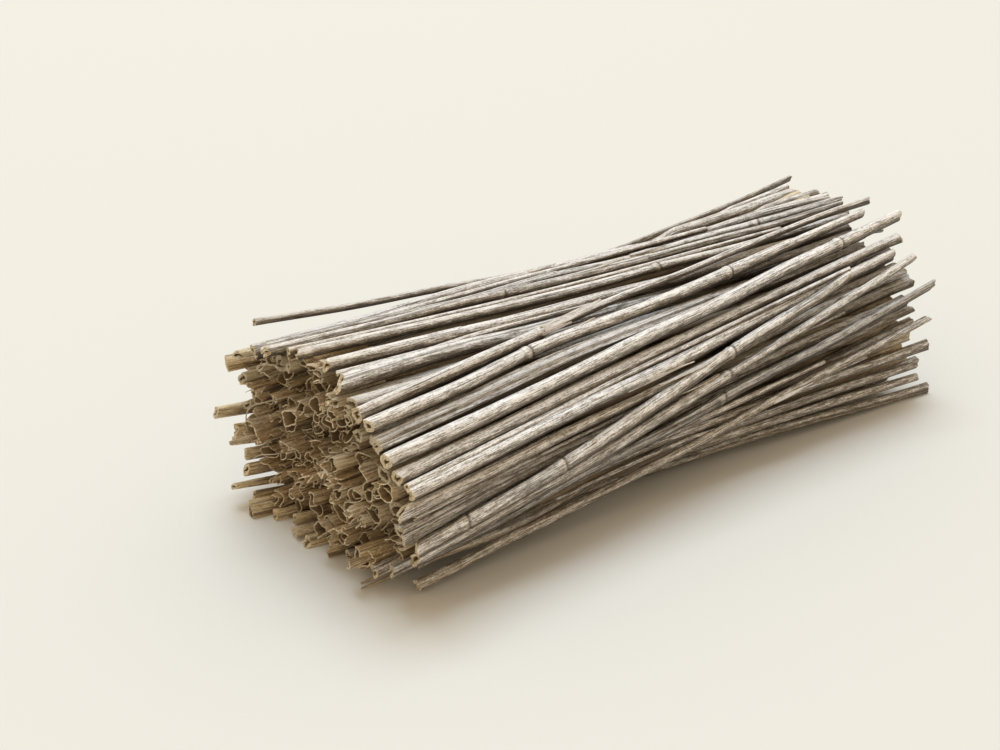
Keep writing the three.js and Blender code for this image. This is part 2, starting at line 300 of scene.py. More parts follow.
# Thin straws: radii in grooves, distances from the stalks' ends, rise and sink, shape and look
STRAW_RADII = (0.45, 0.85)
GROOVE_INSETS = ((-1.0, 4.0), (0.0, 60.0))
GAP_INSETS = ((2.0, 8.0), (0.0, 6.0))
STRAW_RISE = 0.6
STRAW_SINK = 2.8
STRAW_STEP = 4.0
STRAW_BEND = (30.0, 0.25)
STRAW_TIP = 0.8
STRAW_RIPPLES = (2, (2, 4), 30.0, 0.08)
STRAW_CUT = (0.3, 0.1)
STRAW_WALL = 0.6
STRAW_LOOKS = ((0.3, 0.9), (0.85, 1.1))

# Fibres: rings, sides, taper and look; stray ones' lean, length and limits of thickness, tone and shade
FIBRE_RINGS = 22
FIBRE_SIDES = 6
FIBRE_TAPER = 0.12
FIBRE_RIM = 0.2
FIBRE_BLUNT = 0.3
FIBRE_LOOK = (0.7, 1.0, 0.85)
STRAY_HELD = (8.0, 1.0)
STRAY_LEAN = 0.9
STRAY_OUT = (1.0, 3.5)
STRAY_LOOKS = ((0.07, 0.16), (0.4, 0.9), (0.9, 1.1))

# Strips: width of the grain, rims at the ends and sides, back; peeled ones' outline, waves and look
STRIP_GRAIN = 2.0
STRIP_RIMS = (1.0, 0.6, 0.7)
STRIP_BACK = 0.5
PEEL_RINGS = 16
PEEL_COLUMNS = 6
PEEL_ROOT = 0.35
PEEL_LEAD = 0.12
PEEL_TAPER = 0.6
PEEL_WAVE = 0.12
PEEL_WAVES = 9.0
PEEL_CLEARANCE = 0.05
PEEL_LOOKS = ((0.1, 0.5), (1.0, 1.1))
PEEL_INSETS = (20.0, 30.0)

# All straw: fields of the mesh, spread of the grain's start, shortest normal, sharp edges in degrees
FIELDS = (
    ("grain", "FLOAT_VECTOR", "vector"),
    ("marks", "FLOAT_COLOR", "color"),
    ("painted_light", "FLOAT", "value"),
    ("shade", "FLOAT", "value"),
)
GRAIN_SPREAD = 400.0
SHORTEST = 1e-9
SHARP_EDGE = 48.0

# Grain: how close the noise lies round a stalk and along it, its detail and its roughness
FINE = ((4.4, 4.4, 0.2), 5.0, 0.64)
GRIT = ((5.6, 5.6, 1.5), 3.0, 0.6)
LINES = ((2.2, 2.2, 0.035), 2.0, 0.55)
BROAD = ((0.55, 0.55, 0.022), 2.0, 0.55)
BLOTCH = ((1.3, 1.3, 0.42), 3.0, 0.55)
SPECK = ((4.6, 4.6, 1.5), 1.0, 0.55)
FINE_WEIGHT = 0.54
GRIT_WEIGHT = 0.30
BLOTCH_WEIGHT = 0.22
BUMP_STRENGTH = 0.8
BUMP_HEIGHT = 0.00032
SHINE = 0.55

# Ranges of a field in the straw's colour, some with the values that they become
GRAIN_RANGE = (0.3, 0.7)
BROAD_RANGE = (0.25, 0.75, -0.45, 0.45)
GOLD_RANGE = (1.0, 1.8)
# Painted shade and painted highlight, read from the painted light and the grain
PAINTED_SHADE_RANGE = (-0.30, 0.40)
PAINTED_HIGHLIGHT_RANGE = (0.40, 1.02)
LINE_RANGE = (0.58, 0.66, 0.0, 0.60)
SPECK_RANGE = (0.68, 0.76, 0.0, 0.45)
OUTSIDE_RANGE = (0.0, 0.3, 0.85, 0.0)
HOLLOW_SHADE_RANGE = (0.0, 0.7)
HOLLOW_STREAK_RANGE = (0.5, 0.7, 0.0, 0.5)
DULL_RANGE = (0.40, 0.62)
RIM_RANGE = (0.15, 0.85, 0.0, 0.9)
ROUGH_RANGE = (0.3, 0.7, 0.34, 0.62)
SPECK_HEIGHT = 0.25

# Sockets of a node that mixes colours
MIX_FIRST = 6
MIX_SECOND = 7
MIX_RESULT = 2

# Colours as a screen shows them: grey, tan, both as painted highlight, and streaks, also used as painted
# shade, of either straw; then those of details
WEATHERED = ((137, 132, 127), (148, 133, 111), (251, 249, 250), (246, 241, 236), (60, 51, 41))
CUT_STRAW = ((192, 176, 152), (180, 152, 114), (242, 234, 217), (232, 215, 184), (72, 56, 39))
GOLD = (184, 156, 110)
# The gold's painted highlight copy
PAINTED_HIGHLIGHT_GOLD = (234, 216, 180)
SPECK_COLOUR = (66, 55, 44)
# Dark lines at sheath edges and knots, and painted shade under a sheath's torn end and deep inside the bundle
GROOVE_AND_SHADE_COLOUR = (70, 56, 40)
HOLLOW = (158, 132, 96)
# Painted shade deep in the hollows
HOLLOW_PAINTED_SHADE = (80, 59, 38)
HOLLOW_STREAK = (60, 42, 26)
RIM = (238, 225, 196)
DULL_RIM = (182, 158, 118)
FLOOR_COLOUR = (222, 221, 217)

# Studio: half the floor's width, the light from all round, and the lamp, in metres and watts
FLOOR_HALF = 3.0
FLOOR_ROUGHNESS = 0.75
ROUND_COLOUR = (1.0, 0.822, 0.59, 1.0)
ROUND_STRENGTH = 0.74
LAMP_PLACE = (0.38, 1.20, 4.40)
LAMP_SIZE = 2.85
LAMP_POWER = 159.0
LAMP_COLOUR = (0.71, 0.86, 0.99)
CLOSEST_VIEW = 0.01


def srgb(red, green, blue):
    """A colour given as it shows on a screen, 0 to 255, as light."""
    parts = np.array([red, green, blue]) / 255.0
    light = np.where(parts <= 0.04045, parts / 12.92, ((parts + 0.055) / 1.055) ** 2.4)
    return (*light.tolist(), 1.0)


def smooth(at, places, values):
    """A smooth curve through values at places, read at each of at."""
    values = np.asarray(values, dtype=float)
    slopes = np.gradient(values, places, axis=0)
    index = np.clip(np.searchsorted(places, at) - 1, 0, len(places) - 2)
    span = places[index + 1] - places[index]
    part = np.clip((at - places[index]) / span, 0.0, 1.0)
    if values.ndim > 1:
        span = span[:, None]
        part = part[:, None]
    start = values[index] * (1 + 2 * part) * (1 - part) ** 2 + slopes[index] * span * part * (1 - part) ** 2
    end = values[index + 1] * part**2 * (3 - 2 * part) - slopes[index + 1] * span * part**2 * (1 - part)
    return start + end


def wander(rng, at, reach, size):
    """Random values along a stalk that change slowly, over about reach."""
    places = np.arange(at.min() - reach, at.max() + 2 * reach, reach)
    return smooth(at, places, rng.normal(0.0, size, len(places)))


def mound(at, height, middle, width):
    """A smooth rise to height at middle, about width to either side."""
    return height * np.exp(-(((at - middle) / width) ** 2))


def any_turn(rng):
    """A random angle."""
    return rng.uniform(0.0, math.tau)


def draws(rng, limits):
    """A random value between each pair of limits."""
    return [rng.uniform(*pair) for pair in limits]


def ripples(rng, at, theta, count, orders, reach, size):
    """Random waves round a stalk that drift along it."""
    total = np.zeros((len(at), len(theta)))
    for _ in range(count):
        order = rng.integers(*orders)
        phase = wander(rng, at, reach, RIPPLE_DRIFT) + any_turn(rng)
        height = size * rng.uniform(*RIPPLE_SIZES)
        total += height * np.cos(order * theta[None, :] + phase[:, None])
    return total


def turned(angle):
    """An angle brought to between half a turn back and half a turn on."""
    return (angle + math.pi) % math.tau - math.pi


def read_stalk(number):
    """Ring centres, corner radii and knots of a stalk's solid in millimetres, near tip first."""
    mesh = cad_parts[f"stalk_{number:02d}"].data
    points = np.empty(3 * len(mesh.vertices), dtype=np.float32)
    mesh.vertices.foreach_get("co", points)
    points = points.reshape(-1, 3).astype(float) / MM
    points = points[np.argsort(points[:, 0])]
    rings = np.split(points, np.nonzero(np.diff(points[:, 0]) > RING_GAP)[0] + 1)
    low = np.array([ring.min(axis=0) for ring in rings])
    high = np.array([ring.max(axis=0) for ring in rings])
    centres = (low + high) / 2
    radii = (high[:, 1] - low[:, 1]) / 2
    beside = np.maximum(radii[:-2], radii[2:])
    knot = np.append(np.append(False, radii[1:-1] > KNOT_SWELL * beside), False)
    return centres[~knot], radii[~knot], centres[knot, 0]


def ring_places(start, end, step, marks):
    """Places along a stalk, close together at its cuts and at its marks."""
    runs = [np.arange(start, end, step), [end], start + CUT_RINGS, end - CUT_RINGS, *marks]
    places = np.unique(np.concatenate(runs))
    places = places[(places >= start) & (places <= end)]
    return places[np.append(np.diff(places) > CLOSEST, True)]


def frames_along(path):
    """Directions of a stalk: along it, towards the front and up."""
    along = np.gradient(path, axis=0)
    along /= np.linalg.norm(along, axis=1)[:, None]
    front = np.cross(along, (0.0, 0.0, 1.0))
    front /= np.linalg.norm(front, axis=1)[:, None]
    return along, front, np.cross(front, along)


def painted_light_facing(path, theta, tip_painted_light):
    """How far each side of a stalk faces up and out of the bundle, from -1 to 1, raised near the near tip:
    painted light, lighter there and darker where it faces down and in.
    """
    out = np.arctan2(path[:, 2] - AXIS_HEIGHT, -path[:, 1])[:, None]
    facing = OUT_SHARE * np.cos(theta[None, :] - out) + (1.0 - OUT_SHARE) * np.sin(theta[None, :])
    tip = np.exp((path[0, 0] - path[:, 0]) / TIP_PAINTED_LIGHT_REACH)[:, None]
    return facing + tip_painted_light * tip * (1.0 - facing)


def ring_quads(first, rings, sides, outward):
    """Faces of a wall whose rings follow each other from index first."""
    ring, side = np.meshgrid(np.arange(rings - 1), np.arange(sides), indexing="ij")
    here = first + ring * sides + side
    beside = first + ring * sides + (side + 1) % sides
    if outward:
        quads = np.stack([here, here + sides, beside + sides, beside], axis=-1)
    else:
        quads = np.stack([here, beside, beside + sides, here + sides], axis=-1)
    return quads.reshape(-1, 4)


def rim_quads(outer, inner, sides, near):
    """Faces of a cut's rim, between an outer and an inner ring."""
    side = np.arange(sides)
    after = (side + 1) % sides
    if near:
        return np.stack([outer + side, outer + after, inner + after, inner + side], axis=-1)
    return np.stack([outer + side, inner + side, inner + after, outer + after], axis=-1)


def floor_fans(ring, centre, sides, near):
    """Triangles between the last ring of a hollow, or of a fibre, and a point in its middle."""
    side = np.arange(sides)
    after = (side + 1) % sides
    middle = np.full(sides, centre)
    if near:
        return np.stack([middle, ring + side, ring + after], axis=-1)
    return np.stack([middle, ring + after, ring + side], axis=-1)


def marked(count, *values):
    """Marks of count points: tone, rim, inside and dark."""
    return np.stack([np.ones(count) * value for value in values], axis=-1)


def body(points, quads, fans, grain, marks, painted_light, shade):
    """The arrays of a shape, with nothing below the floor."""
    points[:, 2] = np.maximum(points[:, 2], 0.0)
    plain = np.ones(len(points))
    arrays = {"points": points, "quads": quads, "fans": fans, "grain": grain, "marks": marks}
    return {**arrays, "painted_light": plain * painted_light, "shade": plain * shade}


def tube(
    path, radius, wall, near_cut, far_cut, pockets, rng, tone, shade,
    dark=None, bare=None, tip=(TIP_PAINTED_LIGHT, TIP_GOLD),
):
    """A hollow stalk along path with a rough cut and a pocket at each end, as arrays."""
    rings, sides = radius.shape
    theta = np.arange(sides) * math.tau / sides
    along, front, up = frames_along(path)
    place = path[:, 0]
    offset = rng.uniform(-GRAIN_SPREAD, GRAIN_SPREAD, 3)
    dark = np.zeros((rings, sides)) if dark is None else dark
    bare = np.zeros((rings, sides)) if bare is None else bare
    # Painted light round the stalk: lighter facing up and out and near the near tip, darker facing down and
    # in
    painted_light = painted_light_facing(path, theta, tip[0])
    tones = tone + tip[1] * np.exp((place[0] - place) / GOLD_REACH)

    def ring(centre, index, size, shift):
        round_it = np.cos(theta)[:, None] * front[index] + np.sin(theta)[:, None] * up[index]
        return centre + size[:, None] * round_it + shift[:, None] * along[index]

    def grain(size, distance):
        rolled = [size * np.cos(theta), size * np.sin(theta), np.full(sides, distance)]
        return np.stack(rolled, axis=-1) + offset

    near_fade = np.clip(1.0 - (place - place[0]) / CUT_FADE, 0.0, 1.0)
    far_fade = np.clip(1.0 - (place[-1] - place) / CUT_FADE, 0.0, 1.0)
    points = []
    grains = []
    marks = []
    painted_lights = []

    def keep(ring_points, ring_grain, rim, inside, ring_dark, ring_painted_light, ring_tone=tone):
        points.append(ring_points)
        painted_lights.append(np.broadcast_to(ring_painted_light, len(ring_points)))
        grains.append(ring_grain)
        marks.append(marked(len(ring_points), ring_tone, rim, inside, ring_dark))

    for i in range(rings):
        shift = near_cut * near_fade[i] - far_cut * far_fade[i]
        rim = 1.0 if i in (0, rings - 1) else bare[i]
        around = ring(path[i], i, radius[i], shift)
        keep(around, grain(radius[i], place[i]), rim, 0.0, dark[i], painted_light[i], tones[i])
    quads = [ring_quads(0, rings, sides, True)]
    fans = []
    for near, depths in ((True, pockets[0]), (False, pockets[1])):
        end = 0 if near else rings - 1
        way = 1.0 if near else -1.0
        first = sum(len(kept) for kept in points)
        cut = near_cut if near else -far_cut
        for depth in depths:
            at = place[end] + way * depth
            centre = np.array([np.interp(at, place, path[:, k]) for k in range(3)])
            size = np.array([np.interp(at, place, radius[:, k]) for k in range(sides)])
            size = np.maximum(size - wall, THINNEST_HOLLOW * size)
            fade = max(0.0, 1.0 - depth / CUT_FADE)
            rim = 1.0 if depth == 0.0 else 0.0
            around = ring(centre, end, size, cut * fade)
            # Rings further down a hollow get more painted shade
            keep(around, grain(size, at), rim, 1.0 - rim, depth / depths[-1], 0.0)
        last = first + (len(depths) - 1) * sides
        middle = np.mean(points[-1], axis=0, keepdims=True)
        keep(middle, grain(np.zeros(sides), at)[:1], 0.0, 1.0, 1.0, 0.0)
        quads.append(rim_quads(end * sides, first, sides, near))
        quads.append(ring_quads(first, len(depths), sides, not near))
        fans.append(floor_fans(last, last + sides, sides, near))
    return body(*(np.concatenate(kept) for kept in (points, quads, fans, grains, marks, painted_lights)), shade)


def walked(points):
    """How far each point of a run lies along it."""
    return np.concatenate([[0.0], np.cumsum(np.linalg.norm(np.diff(points, axis=0), axis=1))])


def sheet(grid, thickness, rng, tone, shade, painted_light=LOOSE_PAINTED_LIGHT):
    """A thin closed strip on a grid of points, as arrays, with one level of painted light all over."""
    rows, columns = grid.shape[:2]
    lengthwise = np.gradient(grid, axis=0)
    across = np.gradient(grid, axis=1)
    normal = np.cross(lengthwise, across)
    normal /= np.linalg.norm(normal, axis=2)[:, :, None] + SHORTEST
    half = normal * thickness / 2
    points = np.concatenate([(grid + half).reshape(-1, 3), (grid - half).reshape(-1, 3)])
    count = rows * columns
    row, column = np.meshgrid(np.arange(rows - 1), np.arange(columns - 1), indexing="ij")
    here = (row * columns + column).ravel()
    top = np.stack([here, here + columns, here + columns + 1, here + 1], axis=-1)
    index = np.arange(count).reshape(rows, columns)
    edge = np.concatenate([index[:, 0], index[-1, 1:], index[::-1, -1][1:], index[0, ::-1][1:-1]])
    after = np.roll(edge, -1)
    sides = np.stack([edge, edge + count, after + count, after], axis=-1)
    walk = walked(grid[:, columns // 2])
    width = np.linspace(-STRIP_GRAIN, STRIP_GRAIN, columns)
    flat = np.broadcast_arrays(width[None, :], 0.0 * width[None, :], walk[:, None])
    grain = np.stack(flat, axis=-1).reshape(-1, 3)
    rim = np.zeros((rows, columns))
    rim[0], rim[-1], rim[:, (0, -1)] = STRIP_RIMS
    marks = np.concatenate([marked(count, tone, rim.ravel(), back, 0.0) for back in (0.0, STRIP_BACK)])
    quads = np.concatenate([top, top[:, ::-1] + count, sides])
    grain = np.concatenate([grain, grain]) + rng.uniform(-GRAIN_SPREAD, GRAIN_SPREAD, 3)
    return body(points, quads, np.empty((0, 3), dtype=int), grain, marks, painted_light, shade)


def rough_cut(rng, theta, radius, slope, jag, notch=0.0):
    """How far a cut lies in from the tip round a stalk: slanted, torn and sometimes split."""
    lean = radius * math.tan(rng.normal(0.0, slope)) * np.cos(theta - any_turn(rng))
    tear = np.zeros(len(theta))
    for order in TEAR_WAVES:
        tear += TEAR_SIZE * jag / order * rng.normal() * np.cos(order * theta + any_turn(rng))
    split = turned(theta - any_turn(rng)) / rng.uniform(*SPLIT_WIDTH)
    cut = lean + tear + notch * rng.uniform(*SPLIT_DEPTH) * np.exp(-(split**4))
    return cut - cut.min()


def culm(number):
    """A stalk of the part as a hollow culm with ridges, a sheath's edge, knots and rough cuts."""
    rng = np.random.default_rng(SEED + number)
    shown = number <= SHOWN
    chance_look = draws(rng, CHANCE_LOOKS)
    tone, shade, ridge, flat = LOOKS.get(number, chance_look)
    # Painted shade: stalks of the second layer, which lie under the first, are made darker
    if number > FIRST_LAYER:
        shade *= UNDER_SHADE
    centres, radii, knots = read_stalk(number)
    start, end = centres[0, 0], centres[-1, 0]
    sides = SHOWN_SIDES if shown else HIDDEN_SIDES
    theta = np.arange(sides) * math.tau / sides
    chance_end = (rng.uniform(start + SHEATH_INSETS[0], end - SHEATH_INSETS[1]), SHEATH_STEP)
    sheath_end, sheath_step = SHEATH_ENDS.get(number, chance_end)
    if FIRST_LAYER >= number > SHOWN:
        knots = np.append(knots, rng.uniform(start + HIDDEN_KNOT_INSET, end - HIDDEN_KNOT_INSET))
    marks = [knot + KNOT_RINGS for knot in knots]
    if shown:
        marks.append(sheath_end + STEP_RINGS)
    place = ring_places(start, end, SHOWN_STEP if shown else HIDDEN_STEP, marks)
    path = smooth(place, centres[:, 0], centres)
    path[:, 1] += wander(rng, place, *SIDE_BEND)
    path[:, 2] += wander(rng, place, *UP_BEND)
    base = np.interp(place, centres[:, 0], radii) * FULLNESS
    base = base * (1.0 + wander(rng, place, *THICKNESS))

    turn = rng.uniform(0.0, math.pi) + wander(rng, place, *TURN)[:, None]
    pinch = rng.uniform(0.0, PINCH) * np.exp((start - place) / PINCH_REACH)
    pinch = pinch + rng.uniform(0.0, PINCH) * np.exp((place - end) / PINCH_REACH)
    squeeze = np.clip(flat + pinch + wander(rng, place, *FLATNESS), 0.0, FLATTEST)[:, None]
    wide = (np.cos(theta[None, :] - turn) / (1 + squeeze)) ** 2
    narrow = (np.sin(theta[None, :] - turn) / (1 - squeeze)) ** 2
    radius = base[:, None] / np.sqrt(wide + narrow)
    radius *= 1.0 + ripples(rng, place, theta, *WAVES)
    radius *= 1.0 + ripples(rng, place, theta, *RIDGES, ridge)

    edge = any_turn(rng) + wander(rng, place, *LAP_TURN)[:, None]
    behind = ((theta[None, :] - edge) % math.tau) / math.tau
    radius += LAP * (behind - LAP_MIDDLE)
    dark = np.where((behind < LAP_EDGE / sides) | (behind > 1.0 - LAP_EDGE / sides), LAP_DARK, 0.0)
    if shown:
        torn = sheath_end + SHEATH_TEARS[0] * np.cos(theta * 3 + rng.uniform(*PHASES))
        past = place[:, None] - (torn + SHEATH_TEARS[1] * np.cos(theta * 7))[None, :]
        radius -= sheath_step / (1.0 + np.exp(-past / SHEATH_EDGE))
        dark = np.maximum(dark, mound(past, *SHEATH_SHADOW))
    bare = np.zeros_like(dark)
    for knot in knots:
        gap = place[:, None] - knot - KNOT_SLANT * np.cos(theta[None, :] - rng.uniform(*PHASES))
        groove = mound(gap, *KNOT_GROOVE)
        radius *= 1.0 + mound(gap, *KNOT_BULGE) + mound(gap, *KNOT_ROOT) - KNOT_GROOVE_DEPTH * groove
        dark = np.maximum(dark, np.maximum(groove, mound(gap, *KNOT_SCAR)))
        bare = np.maximum(bare, mound(gap, *KNOT_BARE))
    # Near tips get painted light and a golden tone, more of both on the stalks behind
    tip = (TIP_PAINTED_LIGHT, TIP_GOLD) if shown else (BACK_TIP_PAINTED_LIGHT, BACK_TIP_GOLD)
    wall = rng.uniform(*WALL_SHARE) + WALL_CHANGE * np.cos(3 * theta + rng.uniform(*PHASES))
    near_cut = rough_cut(rng, theta, base[0], CUT_SLOPE, NEAR_JAG, rng.choice(NOTCHES))
    far_cut = rough_cut(rng, theta, base[-1], CUT_SLOPE, FAR_JAG, rng.choice(NOTCHES))
    pockets = (POCKET, FAR_POCKET)
    wall = base.mean() * wall
    return tube(path, radius, wall, near_cut, far_cut, pockets, rng, tone, shade, dark, bare, tip)


def stalk_paths():
    """Where each stalk of the part crosses the stations, and how thick it is there."""
    places = []
    sizes = []
    for number in range(1, STALKS + 1):
        centres, radii, _ = read_stalk(number)
        across = [np.interp(INNER_STATIONS, centres[:, 0], centres[:, k]) for k in (1, 2)]
        places.append(np.column_stack(across))
        sizes.append(radii.mean())
    return np.array(places).transpose(1, 0, 2), np.array(sizes)


def fence(outer, middle, ways):
    """How far the first layer's stalks lie from the middle, in each of ways."""
    away = outer - middle
    angle = np.arctan2(ways[:, 1], ways[:, 0])
    turn = np.arctan2(away[:, 1], away[:, 0])
    order = np.argsort(turn)
    return np.interp(angle, turn[order], np.hypot(away[:, 0], away[:, 1])[order], period=math.tau)


def lay_inner(rng, outer, outer_sizes):
    """Inner stalks pushed apart inside the outer ones: their places at the stations, and their radii."""
    sizes = rng.uniform(*INNER_RADII, INNER)
    broad = rng.random(INNER) < SHEATH_SHARE
    sizes[broad] = rng.uniform(*SHEATH_RADII, broad.sum())
    middle = outer[:, :FIRST_LAYER].mean(axis=1)
    turn = np.arange(INNER) * math.pi * (3 - math.sqrt(5))
    reach = np.sqrt((np.arange(INNER) + 0.5) / INNER)
    spread = np.stack([np.cos(turn), np.sin(turn)], axis=-1)
    stations = len(INNER_STATIONS)
    places = np.empty((stations, INNER, 2))
    for s in range(stations):
        room = fence(outer[s, :FIRST_LAYER], middle[s], spread) - START_ROOM
        places[s] = middle[s] + spread * (reach * room)[:, None]
    same = np.eye(INNER, dtype=bool)[None]
    for _ in range(INNER_ROUNDS):
        apart = places[:, :, None] - places[:, None]
        distance = np.linalg.norm(apart, axis=-1) + TINY
        overlap = np.clip(sizes[:, None] + sizes[None] + INNER_GAP - distance, 0.0, None)
        overlap = np.where(same, 0.0, overlap)
        push = (apart / distance[..., None] * overlap[..., None]).sum(axis=2) * INNER_PUSH
        away = places[:, :, None] - outer[:, None]
        distance = np.linalg.norm(away, axis=-1) + TINY
        overlap = np.clip(sizes[:, None] + outer_sizes[None] - distance, 0.0, None)
        push += (away / distance[..., None] * overlap[..., None]).sum(axis=2) * OUTER_PUSH
        places = places + push
        for s in range(stations):
            from_middle = places[s] - middle[s]
            distance = np.linalg.norm(from_middle, axis=1) + TINY
            room = fence(outer[s, :FIRST_LAYER], middle[s], from_middle) - EDGE_ROOM
            places[s] = middle[s] + from_middle * np.minimum(1.0, room / distance)[:, None]
        places[..., 1] = np.maximum(places[..., 1], sizes)
        places[1:-1] += STRAIGHTEN * (places[:-2] + places[2:] - 2 * places[1:-1])
    return places, sizes


def crushed(places, sizes, outer, outer_sizes, theta):
    """How far each inner stalk can spread in each direction before it meets its neighbours."""
    others = np.concatenate([places, outer])
    other_sizes = np.concatenate([sizes, outer_sizes])
    away = others[None] - places[:, None]
    distance = np.linalg.norm(away, axis=-1)
    near = distance > TINY
    distance = np.where(near, distance, 1.0)
    turn = np.arctan2(away[..., 1], -away[..., 0])
    share = (distance**2 + sizes[:, None] ** 2 - other_sizes[None] ** 2) / (2 * distance)
    facing = np.cos(theta[None, None, :] - turn[..., None])
    faced = (facing > LEAST_FACING) & near[..., None]
    reach = np.where(faced, share[..., None] / np.maximum(facing, LEAST_FACING), FAR_AWAY)
    widest = np.minimum(CELL_LIMITS[1] * sizes, WIDEST_CELL)
    cell = np.clip(reach.min(axis=1) - CELL_GAP, CELL_LIMITS[0] * sizes[:, None], widest[:, None])
    beside = np.roll(cell, 1, axis=1) + np.roll(cell, -1, axis=1)
    return (1.0 - 2.0 * CELL_SOFT) * cell + CELL_SOFT * beside


def tip_plane(column):
    """How the tips of the outer stalks lie across the bundle: a plane fitted to them."""
    tips = []
    for number in range(FIRST_REGULAR, FIRST_LAYER + 1):
        centres, _, _ = read_stalk(number)
        tips.append(centres[column])
    tips = np.array(tips)
    across = np.column_stack([np.ones(len(tips)), tips[:, 1], tips[:, 2]])
    return np.linalg.lstsq(across, tips[:, 0], rcond=None)[0]


def inner_stalks():
    """The stalks inside the bundle, pressed together at their cuts, those nested in them, and near tips."""
    rng = np.random.default_rng(SEED)
    outer, outer_sizes = stalk_paths()
    places, sizes = lay_inner(rng, outer, outer_sizes)
    theta = np.arange(INNER_SIDES) * math.tau / INNER_SIDES
    near_cell = crushed(places[0], sizes, outer[0], outer_sizes, theta)
    far_cell = crushed(places[-1], sizes, outer[-1], outer_sizes, theta)
    near_plane = tip_plane(0)
    far_plane = tip_plane(-1)
    stalks = []
    nested = []
    tips = []
    for i in range(INNER):
        recess = np.interp(places[0, i, 0], (-HALF_WIDTH, HALF_WIDTH), (INNER_RECESS, BACK_RECESS))
        near_tip = near_plane @ (1.0, *places[0, i]) + recess + rng.uniform(-INNER_RAGGED, INNER_RAGGED)
        far_tip = far_plane @ (1.0, *places[-1, i]) - INNER_RECESS
        far_tip = far_tip + rng.uniform(-INNER_RAGGED, INNER_RAGGED)
        place = np.concatenate([near_tip + INNER_NEAR, far_tip - INNER_FAR])
        path = np.column_stack([place, smooth(place, INNER_STATIONS, places[:, i])])
        near_pull = mound(place, rng.uniform(*CRUSH), near_tip, CRUSH_REACH)[:, None]
        far_pull = mound(place, rng.uniform(*CRUSH), far_tip, FAR_CRUSH_REACH)[:, None]
        radius = sizes[i] + near_pull * (near_cell[i] - sizes[i]) + far_pull * (far_cell[i] - sizes[i])
        for row in INNER_RIPPLES:
            radius = radius * (1.0 + ripples(rng, place, theta, *row))
        if rng.random() < DENT_SHARE:
            dent = turned(theta - any_turn(rng))
            radius *= 1.0 - mound(dent, rng.uniform(*DENT_DEPTH), 0.0, DENT_WIDTH)[None, :]
        wall = rng.uniform(*INNER_WALL)
        near_cut = rough_cut(rng, theta, sizes[i], INNER_SLOPE, INNER_JAG, rng.choice(INNER_NOTCHES))
        far_cut = rough_cut(rng, theta, sizes[i], INNER_SLOPE, INNER_JAG, rng.choice(INNER_NOTCHES))
        tone, shade = draws(rng, INNER_LOOKS)
        # Painted shade that grows away from the cuts, deep inside the bundle
        inside = np.minimum(place - near_tip, far_tip - place)
        painted_depth_shade = np.clip((inside - PAINTED_SHADE_FROM) / PAINTED_SHADE_REACH, 0.0, DEEPEST_PAINTED_SHADE)
        dark = np.repeat(painted_depth_shade[:, None], INNER_SIDES, axis=1)
        pockets = (INNER_POCKET, FAR_POCKET[:3])
        stalks.append(tube(path, radius, wall, near_cut, far_cut, pockets, rng, tone, shade, dark))
        tips.append((near_tip, places[0, i], sizes[i]))
        if rng.random() < NESTED_SHARE:
            place = near_tip + rng.uniform(*NESTED_SHIFT) + NESTED_RINGS
            path = np.column_stack([place, smooth(place, INNER_STATIONS, places[:, i])])
            small = np.maximum(radius[: len(place)] - wall - NESTED_WALL, NESTED_LEAST)
            small = small * rng.uniform(*NESTED_FIT)
            pockets = (POCKET[:5], FAR_POCKET[:2])
            nested.append(tube(path, small, NESTED_WALL, near_cut, far_cut, pockets, rng, tone, shade))
    return stalks, nested, tips


def sheath_scraps(tips):
    """Torn pieces of leaf sheath round some of the inner stalks, curling off at the near cut."""
    rng = np.random.default_rng(SEED + 1)
    along = SCRAP_RINGS
    across = np.linspace(0.0, 1.0, SCRAP_COLUMNS)
    scraps = []
    for i in rng.permutation(len(tips))[:SCRAPS]:
        tip, place, size = tips[i]
        start = tip + rng.uniform(-STRIP_SHIFT, STRIP_SHIFT)
        arc = np.linspace(0.0, rng.uniform(*SCRAP_ARC), SCRAP_COLUMNS) + any_turn(rng)
        opening = rng.uniform(*SCRAP_OPENING) * np.exp(-along / OPEN_REACH)[:, None] * across[None, :]
        wave = 1.0 + SCRAP_WAVE * np.cos(5 * arc + rng.uniform(*PHASES))
        spread = size * (SCRAP_FIT + opening) * wave[None, :]
        torn = SCRAP_TEARS[0] * np.cos(4 * arc) + SCRAP_TEARS[1] * np.cos(9 * arc + 1.0)
        grid = np.empty((len(along), SCRAP_COLUMNS, 3))
        grid[..., 0] = start + along[:, None] + torn[None, :] * np.exp(-along / SCRAP_TEAR_REACH)[:, None]
        grid[..., 1] = place[0] - spread * np.cos(arc)[None, :]
        grid[..., 2] = place[1] + spread * np.sin(arc)[None, :]
        thickness, tone, shade = draws(rng, SCRAP_LOOKS)
        scraps.append(sheet(grid, thickness, rng, tone, shade))
    return scraps


